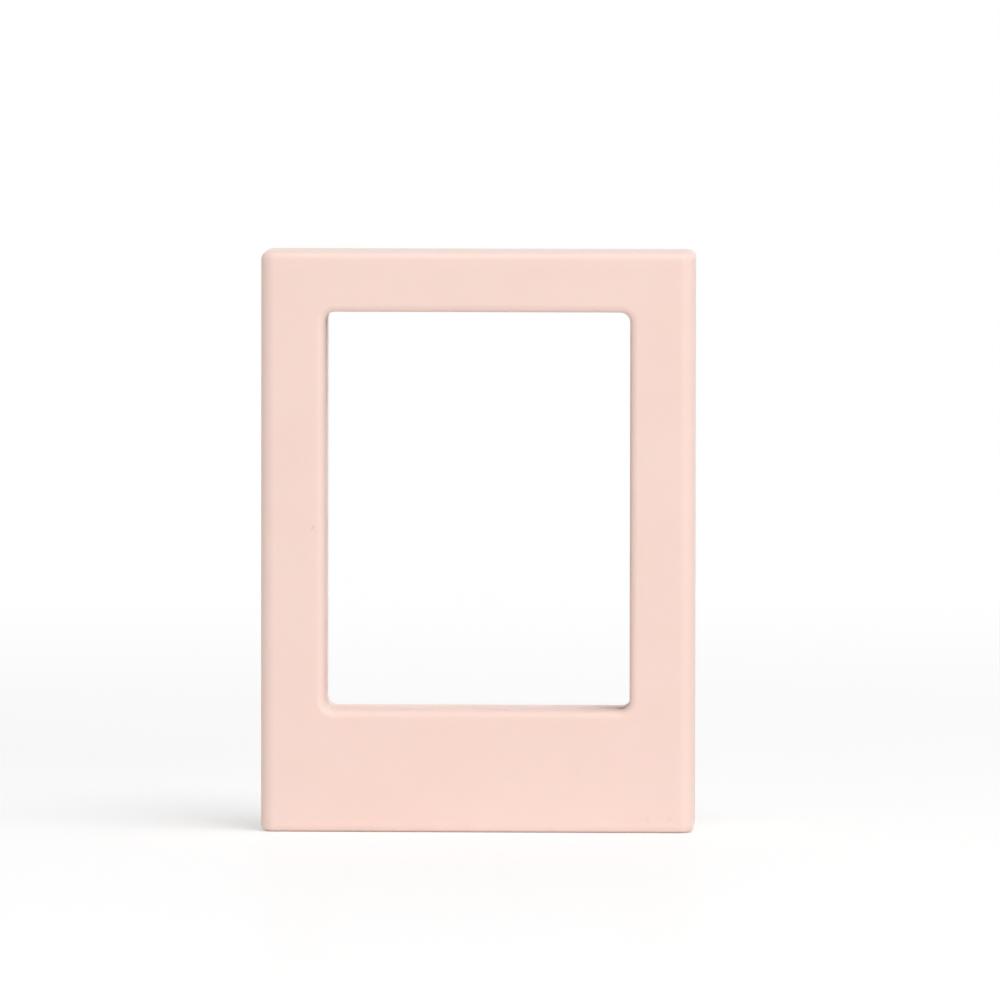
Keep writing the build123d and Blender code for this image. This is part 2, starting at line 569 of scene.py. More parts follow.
@dataclass
class MouldedShell(HalfPiece):
    """Hollow moulded shell of one half.

    Its outer skin is one profile swept round three sides of the plan. The window, the seats behind it,
    the hollow with its ribs and the magnet pockets are cut from the back.
    """

    kind: ClassVar[str] = "moulded_shell"
    slot: ClassVar[Slot] = Slot.SHELL

    end_rounding: float = 1.2 * MM
    side_rounding: float = 2.2 * MM
    window_rounding: float = 1.3 * MM
    window_corner: float = 1.6 * MM
    seam_break: float = 0.25 * MM
    rounding_steps: int = 16
    pane_lap: float = 1.3 * MM
    pane_clearance: float = 0.15 * MM
    pane_corner: float = 0.75 * MM
    liner_clearance: float = 0.1 * MM
    liner_corner: float = 1.3 * MM
    surround_lip: float = 1.0 * MM
    side_wall: float = 2.0 * MM
    face_wall: float = 1.8 * MM
    channel_corner: float = 1.0 * MM
    post_wall: float = 0.9 * MM
    magnet_clearance: float = 0.1 * MM
    pocket_steps: int = 48
    rib_thickness: float = 1.1 * MM
    end_ribs: int = 3
    side_ribs: int = 4

    # How the tree tells edges and faces apart. The seam reach is counted in seam breaks.
    weld: float = 0.002 * MM
    sharp_angle: float = math.radians(35)
    flat_limit: float = 0.9999
    seam_reach: float = 1.5

    middle: Socket = field(init=False, repr=False)

    def __post_init__(self) -> None:
        """Starts the tree and works out the height of the shell's middle."""
        super().__post_init__()
        self.middle = self.recipe.times(self.size["Height"], 0.5)

    def sizes(self) -> dict[str, Size]:
        """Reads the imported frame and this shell's own fields.

        Returns:
            The named inputs of the tree.
        """
        names = ("shell", "pane", "liner", "magnet_top_right", "magnet_bottom_right")
        shell, pane, liner, magnet, lower_magnet = (Block.of(self.half.node(name)) for name in names)
        return {
            "Width": shell.width,
            "Height": shell.height,
            "Depth": shell.far,
            "End rounding": self.end_rounding,
            "Side rounding": self.side_rounding,
            "Seam break": self.seam_break,
            "Window width": pane.width - 2 * self.pane_lap,
            "Window height": pane.height - 2 * self.pane_lap,
            "Window middle": pane.centre[1],
            "Window corner": self.window_corner,
            "Window rounding": self.window_rounding,
            "Pane room": self.pane_lap + self.pane_clearance,
            "Pane corner": self.pane_corner,
            "Pane seat": pane.far,
            "Liner width": liner.width + 2 * self.liner_clearance,
            "Liner height": liner.height + 2 * self.liner_clearance,
            "Liner corner": self.liner_corner,
            "Liner seat": pane.near,
            "Surround": self.pane_lap + self.pane_clearance + self.surround_lip,
            "Side wall": self.side_wall,
            "Face wall": self.face_wall,
            "Channel corner": self.channel_corner,
            "Magnets across": 2 * magnet.centre[0],
            "Magnets up": magnet.centre[1] - lower_magnet.centre[1],
            "Pocket radius": magnet.width / 2 + self.magnet_clearance,
            "Pocket depth": magnet.far,
            "Pocket steps": self.pocket_steps,
            "Post wall": self.post_wall,
            "Rib thickness": self.rib_thickness,
            "End ribs": self.end_ribs,
            "Side ribs": self.side_ribs,
            "Rounding steps": self.rounding_steps,
        }

    def build(self, material: bpy.types.Material) -> bpy.types.Object:
        """Models the shell and puts it on its body, in place of the CAD node.

        Args:
            material: Its finish.

        Returns:
            The shell as a plain mesh.
        """
        piece = super().build(material)
        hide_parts(self.half.node("shell"))
        return piece

    def geometry(self) -> Socket:
        """The shell in the plan of its half."""
        return self.shaded(self.recipe.cut(self.skin(), *self.cutters()))

    def skin(self) -> Socket:
        """Models the shell as if it were solid, with its window.

        Returns:
            The closed mesh, from which the seats and the hollow are still to be cut.
        """
        recipe, depth = self.recipe, self.size["Depth"]
        inputs = {0: self.outside(), 1: self.looks_forward()}
        face, sides = recipe.add("GeometryNodeSeparateGeometry", inputs, domain="FACE").outputs
        wall = self.window_wall()
        z = recipe.place()[2]
        on_face = recipe.math("GREATER_THAN", z, recipe.math("SUBTRACT", depth, self.weld))
        front = recipe.moved(recipe.filled(recipe.edge(face), recipe.edge(wall, on_face)), z=depth)
        sides, parting = self.seam(sides)
        return self.welded(recipe.joined(sides, parting, front, wall))

    def outside(self) -> Socket:
        """Models the sides, the ends and the front with their rounded edges.

        Returns:
            The mesh, open at the seam.
        """
        recipe, size = self.recipe, self.size
        steps, reach = size["Rounding steps"], size["End rounding"]
        inset = recipe.less(recipe.times(size["Width"], 0.5), (1, reach))
        left = recipe.times(inset, -1)
        back = recipe.times(size["Seam break"], -1)
        front = recipe.less(reach, (1, size["Depth"]))
        corners = [(left, back), (left, front), (inset, front), (inset, back)]
        path = recipe.line(*(recipe.vector(x, y) for x, y in corners))
        path = recipe.rounded(path, recipe.less(size["Side rounding"], (1, reach)), steps)
        up = recipe.times(size["Height"], -1)
        ends = [(0.0, 0.0), (reach, 0.0), (reach, up), (0.0, up)]
        profile = recipe.line(*(recipe.vector(x, y) for x, y in ends))
        walls = recipe.flipped(recipe.swept(path, recipe.rounded(profile, reach, steps)))
        bottom = recipe.filled(recipe.ended(path, closed=True))
        top = recipe.moved(bottom, z=size["Height"])
        joined = self.welded(recipe.joined(walls, top, recipe.flipped(bottom)))
        return recipe.turned(joined, -math.pi / 2)

    def looks_forward(self) -> Socket:
        """Picks the faces that look straight out of the front.

        Returns:
            1 on those faces and 0 on the others.
        """
        normal = self.recipe.add("GeometryNodeInputNormal").outputs[0]
        z = self.recipe.parts(normal)[2]
        return self.recipe.math("GREATER_THAN", z, self.flat_limit)

    def seam(self, sides: Socket) -> tuple[Socket, Socket]:
        """Adds the small break along the seam.

        Args:
            sides: The sides, open at the front and at the seam.

        Returns:
            The sides with the break, and the flat face on the parting plane.
        """
        recipe, size = self.recipe, self.size
        inputs = {"A": recipe.add("GeometryNodeInputMeshEdgeNeighbors").outputs[0], "B": 1}
        is_open = recipe.add("FunctionNodeCompare", inputs, data_type="INT", operation="EQUAL").outputs[0]
        x, y, z = recipe.place()
        near = recipe.math("LESS_THAN", z, recipe.times(size["Seam break"], self.seam_reach))
        rim = recipe.add("FunctionNodeBooleanMath", {0: is_open, 1: near}, operation="AND").outputs[0]
        inputs = {"Mesh": sides, "Selection": rim, "Offset Scale": 0.0}
        grown = recipe.add("GeometryNodeExtrudeMesh", inputs, mode="EDGES")
        mesh, ring = grown.outputs[0], grown.outputs[1]
        across = recipe.math("MULTIPLY", x, self.shrunk(size["Width"]))
        up = recipe.less(y, (1, self.middle))
        up = recipe.math("MULTIPLY_ADD", up, self.shrunk(size["Height"]), self.middle)
        inputs = {"Geometry": mesh, "Selection": ring, "Position": recipe.vector(across, up)}
        mesh = recipe.add("GeometryNodeSetPosition", inputs).outputs[0]
        parting = recipe.filled(recipe.edge(mesh, ring), self.window())
        return mesh, recipe.flipped(parting)

    def shrunk(self, length: Socket) -> Socket:
        """Share of a length that is left when the seam break is taken off both its ends."""
        left = self.recipe.less(length, (2, self.size["Seam break"]))
        return self.recipe.math("DIVIDE", left, length)

    def window(self, grown: str = "") -> Socket:
        """Draws the outline of the window.

        Args:
            grown: Name of the size by which the outline is larger all round, if any.

        Returns:
            The closed curve.
        """
        recipe, size = self.recipe, self.size
        width, height, corner = size["Window width"], size["Window height"], size["Window corner"]
        if grown:
            width, height = (recipe.more(length, (2, size[grown])) for length in (width, height))
            corner = recipe.more(corner, (1, size[grown]))
        return recipe.loop(width, height, corner, size["Rounding steps"], size["Window middle"])

    def window_wall(self) -> Socket:
        """Models the rounded edge and the wall of the window.

        Returns:
            The open mesh, from the front face down to the parting plane.
        """
        recipe, radius = self.recipe, self.size["Window rounding"]
        start = recipe.less(radius, (1, self.size["Depth"]))
        inputs = {
            "Resolution": recipe.math("ADD", self.size["Rounding steps"], 1),
            "Radius": radius,
            "Start Angle": -math.pi / 2,
            "Sweep Angle": -math.pi / 2,
        }
        arc = recipe.add("GeometryNodeCurveArc", inputs, mode="RADIUS").outputs[0]
        arc = recipe.moved(arc, x=radius, y=start)
        wall = recipe.straight(recipe.vector(y=start), recipe.vector())
        path = self.window()
        return recipe.flipped(recipe.joined(recipe.swept(path, arc), recipe.swept(path, wall)))

    def cutters(self) -> list[Socket]:
        """Models the blocks that are cut from the back.

        Returns:
            The blocks for the liner's seat, the pane's seat, the hollow and the magnet pockets.
        """
        recipe, size = self.recipe, self.size
        steps = size["Rounding steps"]
        behind = recipe.times(size["Depth"], -1)
        width, height = size["Liner width"], size["Liner height"]
        liner = recipe.loop(width, height, size["Liner corner"], steps, self.middle)
        width, height = (
            recipe.more(size[side], (2, size["Pane room"])) for side in ("Window width", "Window height")
        )
        pane = recipe.loop(width, height, size["Pane corner"], steps, size["Window middle"])
        return [
            recipe.prism(liner, behind, size["Liner seat"]),
            recipe.prism(pane, behind, size["Pane seat"]),
            self.hollow(),
            self.at_magnets(size["Pocket radius"], behind, size["Pocket depth"]),
        ]

    def hollow(self) -> Socket:
        """Models the channel behind the face, without its ribs and the posts round the pockets.

        Returns:
            The closed block, which starts half-way into the liner's seat.
        """
        recipe, size = self.recipe, self.size
        width, height = (recipe.less(size[side], (2, size["Side wall"])) for side in ("Width", "Height"))
        near = recipe.times(size["Liner seat"], 0.5)
        floor = recipe.less(size["Depth"], (1, size["Face wall"]))
        past = size["Depth"]
        corner, steps = size["Channel corner"], size["Rounding steps"]
        outline = recipe.loop(width, height, corner, steps, self.middle)
        radius = recipe.more(size["Pocket radius"], (1, size["Post wall"]))
        kept = [
            recipe.prism(self.window(grown="Surround"), 0.0, past),
            self.at_magnets(radius, 0.0, past),
            *self.ribs(),
        ]
        return recipe.cut(recipe.prism(outline, near, floor), *kept)

    def at_magnets(self, radius: Socket, near: Value, far: Value) -> Socket:
        """Models a round block at each of the four magnets.

        Args:
            radius: The blocks' radius.
            near: Depth at which they start.
            far: Depth at which they end.

        Returns:
            The four closed blocks.
        """
        recipe, size = self.recipe, self.size
        block = recipe.prism(recipe.circle(radius, size["Pocket steps"]), near, far)
        points = recipe.grid(size["Magnets across"], size["Magnets up"], 2, 2)
        return recipe.repeated(block, recipe.moved(points, y=self.middle))

    def ribs(self) -> list[Socket]:
        """Models the bars that leave ribs where they cross the hollow.

        Returns:
            The bars above and below the window, and those beside it.
        """
        recipe, size = self.recipe, self.size
        thick = size["Rib thickness"]
        opening = recipe.more(size["Window width"], (2, size["Surround"]))
        end_pitch = recipe.math("DIVIDE", opening, recipe.math("ADD", size["End ribs"], 1))
        side_gaps = recipe.math("ADD", size["Side ribs"], 1)
        side_pitch = recipe.math("DIVIDE", size["Window height"], side_gaps)
        high, wide = (recipe.more(size[side], (1, size["Depth"])) for side in ("Height", "Width"))
        upright = recipe.vector(thick, high, 1.0)
        level = recipe.vector(wide, thick, 1.0)
        upright = recipe.bars(upright, recipe.vector(x=end_pitch), size["End ribs"])
        level = recipe.bars(level, recipe.vector(y=side_pitch), size["Side ribs"])
        return [recipe.moved(upright, y=self.middle), recipe.moved(level, y=size["Window middle"])]

    def welded(self, mesh: Socket) -> Socket:
        """The mesh with the points that meet made one."""
        inputs = {"Geometry": mesh, "Distance": self.weld}
        return self.recipe.add("GeometryNodeMergeByDistance", inputs).outputs[0]

    def shaded(self, mesh: Socket) -> Socket:
        """Shades a mesh smoothly, apart from its sharp edges.

        Args:
            mesh: The mesh.

        Returns:
            The shaded mesh.
        """
        recipe = self.recipe
        smooth = recipe.add("GeometryNodeSetShadeSmooth", {0: mesh}, domain="FACE").outputs[0]
        angle = recipe.add("GeometryNodeInputMeshEdgeAngle").outputs[0]
        inputs = {0: smooth, 1: recipe.math("GREATER_THAN", angle, self.sharp_angle), 2: False}
        return recipe.add("GeometryNodeSetShadeSmooth", inputs, domain="EDGE").outputs[0]


@dataclass
class PinMarks(HalfPiece):
    """Shallow rings that the mould's ejector pins left on a liner's print seat."""

    kind: ClassVar[str] = "liner_pin_marks"
    slot: ClassVar[Slot] = Slot.LINER

    radius: float = 0.9 * MM
    line: float = 0.05 * MM
    radius_steps: int = 40
    line_steps: int = 6
    end_inset: float = 9.0 * MM
    side_count: int = 5
    end_count: int = 4
    print_seat_depth: float = 0.3 * MM
    print_seat_width: float = 54.6 * MM
    pane_lap: float = 1.3 * MM

    def sizes(self) -> dict[str, Size]:
        """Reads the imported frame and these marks' own fields.

        Returns:
            The named inputs of the tree.
        """
        pane, liner = (Block.of(self.half.node(name)) for name in ("pane", "liner"))
        window = pane.width - 2 * self.pane_lap
        return {
            "Radius": self.radius,
            "Line": self.line,
            "Radius steps": self.radius_steps,
            "Line steps": self.line_steps,
            "Seat depth": self.print_seat_depth,
            "Column spacing": (window + self.print_seat_width) / 2,
            "Column height": pane.height,
            "Column middle": pane.centre[1],
            "Column count": self.side_count,
            "Row width": window,
            "Row height": liner.bottom + self.end_inset,
            "Row count": self.end_count,
        }

    def geometry(self) -> Socket:
        """Models the rings.

        Returns:
            The rings in the plan of the half, half sunk into the print seat.
        """
        recipe, size = self.recipe, self.size
        outline = recipe.circle(size["Radius"], size["Radius steps"])
        wire = recipe.circle(size["Line"], size["Line steps"])
        points = recipe.joined(self.columns(), self.row())
        return recipe.moved(recipe.repeated(recipe.swept(outline, wire), points), z=size["Seat depth"])

    def columns(self) -> Socket:
        """Places the rings beside the window.

        Returns:
            Their middles.
        """
        recipe, size = self.recipe, self.size
        grid = recipe.grid(size["Column spacing"], size["Column height"], 2, size["Column count"])
        return recipe.moved(grid, y=size["Column middle"])

    def row(self) -> Socket:
        """Places the rings below the window.

        Returns:
            Their middles.
        """
        recipe, size = self.recipe, self.size
        right = recipe.times(size["Row width"], 0.5)
        left = recipe.times(right, -1)
        ends = [recipe.vector(x, size["Row height"]) for x in (left, right)]
        inputs = {"Count": size["Row count"], "Start Location": ends[0], "Offset": ends[1]}
        return recipe.add("GeometryNodeMeshLine", inputs, mode="END_POINTS").outputs[0]


@dataclass
class DressedNodes:
    """CAD nodes of one half whose shape stays, and the finish that each kind gets."""

    half: Half
    corners: tuple[str, ...] = ("top_left", "top_right", "bottom_left", "bottom_right")

    def build(self, finishes: Mapping[Slot, bpy.types.Material]) -> list[bpy.types.Object]:
        """Gives the liner, the pane and the magnets their finishes.

        Args:
            finishes: The material of each slot.

        Returns:
            The dressed CAD nodes.
        """
        kinds = {"liner": Slot.LINER, "pane": Slot.PANE}
        kinds |= {f"magnet_{corner}": Slot.MAGNET for corner in self.corners}
        dressed = []
        for kind, slot in kinds.items():
            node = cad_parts[self.half.node(kind)]
            for place in node.material_slots:
                place.material = finishes[slot]
            dressed.append(node)
        return dressed


class Shader(Tree):
    """Nodes of one material, round a Principled shader that its finish feeds."""

    def __init__(self, name: str, constants: Mapping[str, Value]) -> None:
        """Starts the material.

        Args:
            name: The material's name.
            constants: Inputs of the Principled shader that are the same all over the surface.
        """
        self.material = bpy.data.materials.new(name)
        self.material.use_nodes = True
        super().__init__(self.material.node_tree)
        self.tree.nodes.clear()
        self.principled = self.add("ShaderNodeBsdfPrincipled", constants)
        self.output = self.add("ShaderNodeOutputMaterial", {"Surface": self.principled.outputs[0]})
        self.place = self.add("ShaderNodeTexCoord").outputs["Object"]

    def effect(self, group: bpy.types.NodeTree, inputs: Mapping[str, Value]) -> bpy.types.Node:
        """Places a shared effect at this surface's own position."""
        return self.add("ShaderNodeGroup", {"Place": self.place, **inputs}, node_tree=group)

    def mixed(self, share: Value, first: Value, second: Value) -> Socket:
        """Mixes two colours by a mask.

        Args:
            share: The mask, 0 for the first colour and 1 for the second.
            first: The first colour.
            second: The second colour.

        Returns:
            The mixed colour.
        """
        inputs = {"Factor": share, "A": opaque(first), "B": opaque(second)}
        node = self.add("ShaderNodeMix", inputs, data_type="RGBA")
        return next(socket for socket in node.outputs if socket.enabled)

    def put(self, name: str, value: Socket) -> None:
        """Feeds an input of the Principled shader."""
        self.feed(self.principled.inputs[name], value)

    def bumped(self, height: Socket, distance: float) -> None:
        """Feeds the shader's normal from a height."""
        inputs = {"Height": height, "Distance": distance, "Strength": 1.0}
        self.put("Normal", self.add("ShaderNodeBump", inputs).outputs[0])


class Effect(Tree):
    """Shader node group with named inputs and outputs, shared by several finishes."""

    def __init__(self, name: str, sizes: Mapping[str, float], outputs: tuple[str, ...]) -> None:
        """Makes the group's sockets.

        Args:
            name: The group's name.
            sizes: Its number inputs with their defaults. The place on the surface is always an input.
            outputs: Names of the masks or heights that it gives.
        """
        super().__init__(bpy.data.node_groups.new(name, "ShaderNodeTree"))
        interface = self.tree.interface
        interface.new_socket("Place", in_out="INPUT", socket_type="NodeSocketVector")
        for size, value in sizes.items():
            socket = interface.new_socket(size, in_out="INPUT", socket_type="NodeSocketFloat")
            socket.default_value = value
        for output in outputs:
            interface.new_socket(output, in_out="OUTPUT", socket_type="NodeSocketFloat")
        self.start = self.tree.nodes.new("NodeGroupInput")
        self.end = self.tree.nodes.new("NodeGroupOutput")

    def given(self, name: str) -> Socket:
        """Socket of a named input, inside the group."""
        return self.start.outputs[name]

    def share_of(self, name: str, factor: float) -> Socket:
        """A named input times a plain number."""
        return self.math("MULTIPLY", self.given(name), factor)

    def give(self, name: str, value: Socket) -> None:
        """Sends a value to a named output."""
        self.feed(self.input_of(self.end, name), value)

    def leaned(self, vector: Socket, angle: Socket) -> Socket:
        """The vector, turned in the plane of the face."""
        inputs = {"Vector": vector, "Angle": angle}
        return self.add("ShaderNodeVectorRotate", inputs, rotation_type="Y_AXIS").outputs[0]

    def vectors(self, operation: str, *values: Socket) -> bpy.types.bpy_prop_collection:
        """Results of a Vector Math node on the given vectors."""
        return self.add("ShaderNodeVectorMath", dict(enumerate(values)), operation=operation).outputs

    def noise(self, size: Socket, detail: float = 3.0, roughness: float = 0.5) -> Socket:
        """Smooth noise on the surface.

        Args:
            size: Length of its cells.
            detail: How many finer layers it has.
            roughness: How strong these are.

        Returns:
            The noise, round 0.5.
        """
        inputs = {"Vector": self.given("Place"), "Scale": self.math("DIVIDE", 1.0, size)}
        inputs |= {"Detail": detail, "Roughness": roughness}
        return self.add("ShaderNodeTexNoise", inputs).outputs[0]


def moulded_grain() -> bpy.types.NodeTree:
    """Makes the fine spark-eroded grain of a mould, with a broad unevenness in colour and gloss.

    Returns:
        The node group.
    """
    mottle_range, patch_range, patch_share = (0.35, 0.65), (0.3, 0.7), 0.3
    sizes = {"Grain": 0.2 * MM, "Mottle": 12 * MM}
    effect = Effect("moulded_grain", sizes, ("Height", "Mottling", "Gloss"))
    effect.give("Height", effect.noise(effect.given("Grain"), detail=2.0, roughness=0.6))
    broad = effect.noise(effect.given("Mottle"), detail=2.0)
    effect.give("Mottling", effect.smooth_step(broad, *mottle_range))
    patches = effect.noise(effect.share_of("Mottle", patch_share), detail=4.0)
    effect.give("Gloss", effect.smooth_step(patches, *patch_range))
    return effect.tree


def edge_highlight_mask() -> bpy.types.NodeTree:
    """Makes the mask of a standing box's outer edges, which get a painted highlight and a glossier
    finish.

    Returns:
        The node group.
    """
    patch_range, patch_share, least_highlight = (0.3, 0.7), 0.8, 0.5
    sizes = {"Half width": 34 * MM, "Height": 92 * MM, "Half depth": 8 * MM, "Reach": 3 * MM}
    effect = Effect("edge_highlight_mask", sizes, ("Highlight",))
    x, y, z = effect.parts(effect.given("Place"))
    side = effect.math("SUBTRACT", effect.given("Half width"), effect.math("ABSOLUTE", x))
    face = effect.math("SUBTRACT", effect.given("Half depth"), effect.math("ABSOLUTE", y))
    end = effect.math("MINIMUM", z, effect.math("SUBTRACT", effect.given("Height"), z))
    sums = [effect.math("ADD", one, other) for one, other in ((side, face), (end, face), (side, end))]
    nearest = effect.math("MINIMUM", effect.math("MINIMUM", sums[0], sums[1]), sums[2])
    painted_highlight = effect.smooth_step(nearest, effect.given("Reach"), 0.0)
    patches = effect.smooth_step(effect.noise(effect.share_of("Reach", patch_share)), *patch_range)
    broken = effect.math("MULTIPLY_ADD", patches, 1.0 - least_highlight, least_highlight)
    effect.give("Highlight", effect.math("MULTIPLY", painted_highlight, broken))
    return effect.tree


def small_mark() -> bpy.types.NodeTree:
    """Makes the mask of one small oval mark, turned in the plane of the face.

    Returns:
        The node group.
    """
    fade, raggedness, ragged_share = (0.85, 0.45), 0.5, 0.7
    sizes = {"Across": 0.0, "Out": 0.0, "Up": 0.0, "Length": 1 * MM, "Width": 0.3 * MM, "Lean": 0.0}
    effect = Effect("small_mark", sizes, ("Mark",))
    centre = effect.vector(*(effect.given(name) for name in ("Across", "Out", "Up")))
    offset = effect.vectors("SUBTRACT", effect.given("Place"), centre)[0]
    width, length = effect.given("Width"), effect.given("Length")
    turned = effect.leaned(offset, effect.given("Lean"))
    scaled = effect.vectors("DIVIDE", turned, effect.vector(width, width, length))[0]
    reach = effect.vectors("LENGTH", scaled)["Value"]
    noise = effect.noise(effect.share_of("Width", ragged_share))
    ragged = effect.math("MULTIPLY_ADD", noise, raggedness, reach)
    effect.give("Mark", effect.smooth_step(ragged, *fade))
    return effect.tree


def rubbed_hairlines() -> bpy.types.NodeTree:
    """Makes the fine hairlines left by wiping, in two crossing directions.

    Returns:
        The node group.
    """
    line_range = (0.58, 0.7)
    sizes = {"Spacing": 0.3 * MM, "Stretch": 12.0, "Lean": 0.4}
    effect = Effect("rubbed_hairlines", sizes, ("Lines",))
    masks = []
    for side in (-1.0, 1.0):
        turned = effect.leaned(effect.given("Place"), effect.share_of("Lean", side))
        squeeze = effect.vector(1.0, 1.0, effect.math("DIVIDE", 1.0, effect.given("Stretch")))
        drawn = effect.vectors("MULTIPLY", turned, squeeze)[0]
        scale = effect.math("DIVIDE", 1.0, effect.given("Spacing"))
        inputs = {"Vector": drawn, "Scale": scale, "Detail": 2.0}
        lines = effect.add("ShaderNodeTexNoise", inputs).outputs[0]
        masks.append(effect.smooth_step(lines, *line_range))
    effect.give("Lines", effect.math("MAXIMUM", *masks))
    return effect.tree


@dataclass(frozen=True)
class Mark:
    """Small moulding mark on the front face. Its lean is in radians, its depth is a share."""

    across: float
    up: float
    length: float
    width: float
    lean: float = 0.0
    depth: float = 0.5


@dataclass(frozen=True)
class SatinPlastic:
    """Coloured moulded plastic with a fine grain, which light enters a little way, with a painted
    highlight on its outer edges.
    """

    name: str
    colour: Colour
    pale: Colour
    # Paler colour painted on the outer edges as a highlight.
    edge_highlight_colour: Colour
    roughness: float
    grain: float
    relief: float
    mottle: float
    mottling: float
    # Share of that painted edge highlight in the colour.
    edge_highlight: float
    ior: float = 1.5
    gloss_variation: float = 0.06
    edge_polish: float = 0.1
    glow_through: float = 0.35
    glow_reach: float = 1.2 * MM
    glow_colours: Colour = (1.0, 0.55, 0.45)
    marks: tuple[Mark, ...] = ()
    mark_colour: Colour = linear(214, 170, 158)

    def material(
        self, effects: Mapping[str, bpy.types.NodeTree], outer: Block
    ) -> bpy.types.Material:
        """Makes the material.

        Args:
            effects: The shared effects by name.
            outer: Box of the outer shell, whose edges get a painted highlight.

        Returns:
            The finished material.
        """
        constants = {"IOR": self.ior, "Metallic": 0.0, "Subsurface Weight": self.glow_through}
        constants |= {"Subsurface Scale": self.glow_reach, "Subsurface Radius": self.glow_colours}
        shader = Shader(self.name, constants)
        grain = shader.effect(effects["grain"], {"Grain": self.grain, "Mottle": self.mottle})
        height, mottling, gloss = grain.outputs
        edges = {"Half width": outer.right, "Height": outer.top, "Half depth": outer.far}
        edge_highlight = shader.effect(effects["edge_highlight"], edges).outputs[0]
        uneven = shader.math("MULTIPLY", mottling, self.mottling)
        colour = shader.mixed(uneven, self.colour, self.pale)
        # Painted highlight: the outer edges are mixed towards a paler colour. The same mask also lowers
        # the roughness there.
        painted_highlight = shader.math("MULTIPLY", edge_highlight, self.edge_highlight)
        colour = shader.mixed(painted_highlight, colour, self.edge_highlight_colour)
        for mark in self.marks:
            place = {"Across": mark.across, "Out": -outer.far, "Up": mark.up, "Lean": mark.lean}
            shape = {"Length": mark.length, "Width": mark.width}
            mask = shader.effect(effects["mark"], place | shape).outputs[0]
            depth = shader.math("MULTIPLY", mask, mark.depth)
            colour = shader.mixed(depth, colour, self.mark_colour)
            height = shader.math("SUBTRACT", height, depth)
        shader.put("Base Color", colour)
        dull = shader.math("MULTIPLY_ADD", gloss, self.gloss_variation, self.roughness)
        polish = shader.math("MULTIPLY", edge_highlight, self.edge_polish)
        shader.put("Roughness", shader.math("SUBTRACT", dull, polish))
        shader.bumped(height, self.relief)
        return shader.material


@dataclass(frozen=True)
class ClearAcrylic:
    """Clear acrylic with faint hairlines. Light passes it on its way to the floor."""

    name: str = "clear_acrylic"
    tint: Colour = (0.999, 1.0, 1.0)
    cloudy: Colour = (0.99, 0.995, 0.995)
    ior: float = 1.49
    roughness: float = 0.01
    line_roughness: float = 0.03
    line_spacing: float = 0.25 * MM
    line_stretch: float = 30.0

    def material(self, effects: Mapping[str, bpy.types.NodeTree]) -> bpy.types.Material:
        """Makes the material.

        Args:
            effects: The shared effects by name.

        Returns:
            The finished material.
        """
        constants = {"IOR": self.ior, "Transmission Weight": 1.0, "Metallic": 0.0}
        shader = Shader(self.name, constants)
        sizes = {"Spacing": self.line_spacing, "Stretch": self.line_stretch}
        lines = shader.effect(effects["hairlines"], sizes).outputs[0]
        rough = shader.math("MULTIPLY_ADD", lines, self.line_roughness, self.roughness)
        shader.put("Roughness", rough)
        shader.put("Base Color", shader.mixed(lines, self.tint, self.cloudy))
        is_shadow = shader.add("ShaderNodeLightPath").outputs["Is Shadow Ray"]
        clear = shader.add("ShaderNodeBsdfTransparent", {"Color": opaque(self.tint)}).outputs[0]
        inputs = {0: is_shadow, 1: shader.principled.outputs[0], 2: clear}
        mix = shader.add("ShaderNodeMixShader", inputs)
        shader.feed(shader.output.inputs["Surface"], mix.outputs[0])
        return shader.material


@dataclass(frozen=True)
class NickelPlate:
    """Bright nickel plating on a magnet, rubbed by the other half's magnet."""

    name: str = "nickel_plate"
    colour: Colour = (0.78, 0.77, 0.73)
    dull: Colour = (0.60, 0.585, 0.55)
    roughness: float = 0.16
    gloss_variation: float = 0.1
    line_roughness: float = 0.15
    line_spacing: float = 0.12 * MM
    line_stretch: float = 9.0
    line_dulling: float = 0.3
    grain: float = 0.08 * MM
    mottle: float = 2.5 * MM
    mottling: float = 0.35
    relief: float = 0.004 * MM

    def material(self, effects: Mapping[str, bpy.types.NodeTree]) -> bpy.types.Material:
        """Makes the material.

        Args:
            effects: The shared effects by name.

        Returns:
            The finished material.
        """
        shader = Shader(self.name, {"Metallic": 1.0})
        sizes = {"Spacing": self.line_spacing, "Stretch": self.line_stretch}
        lines = shader.effect(effects["hairlines"], sizes).outputs[0]
        grain = shader.effect(effects["grain"], {"Grain": self.grain, "Mottle": self.mottle})
        height, mottling, gloss = grain.outputs
        lined = shader.math("MULTIPLY", lines, self.line_dulling)
        share = shader.math("MULTIPLY_ADD", mottling, self.mottling, lined)
        shader.put("Base Color", shader.mixed(share, self.colour, self.dull))
        rough = shader.math("MULTIPLY_ADD", gloss, self.gloss_variation, self.roughness)
        shader.put("Roughness", shader.math("MULTIPLY_ADD", lines, self.line_roughness, rough))
        shader.bumped(shader.math("SUBTRACT", height, lines), self.relief)
        return shader.material


def direction(azimuth: float, elevation: float) -> Vector:
    """Gives the way from the frame to a lamp or to the camera.

    Args:
        azimuth: Degrees to the right of the frame's front.
        elevation: Degrees upwards.

    Returns:
        The way, as a vector of length 1.
    """
    turn, rise = math.radians(azimuth), math.radians(elevation)
    return Vector((math.sin(turn) * math.cos(rise), -math.cos(turn) * math.cos(rise), math.sin(rise)))


@dataclass(frozen=True)
class SoftLamp:
    """Square white studio lamp that looks at the frame, with angles in degrees and power in watts."""

    name: str
    azimuth: float
    elevation: float
    distance: float
    size: float
    power: float

    def build(self, target: Vector) -> bpy.types.Object:
        """Puts the lamp in its place.

        Args:
            target: The point that it looks at.

        Returns:
            The lamp.
        """
        data = bpy.data.lights.new(self.name, "AREA")
        data.size, data.energy, data.color = self.size, self.power, WHITE
        lamp = linked(self.name, data)
        outwards = direction(self.azimuth, self.elevation)
        lamp.location = target + outwards * self.distance
        lamp.rotation_euler = (-outwards).to_track_quat("-Z", "Y").to_euler()
        return lamp


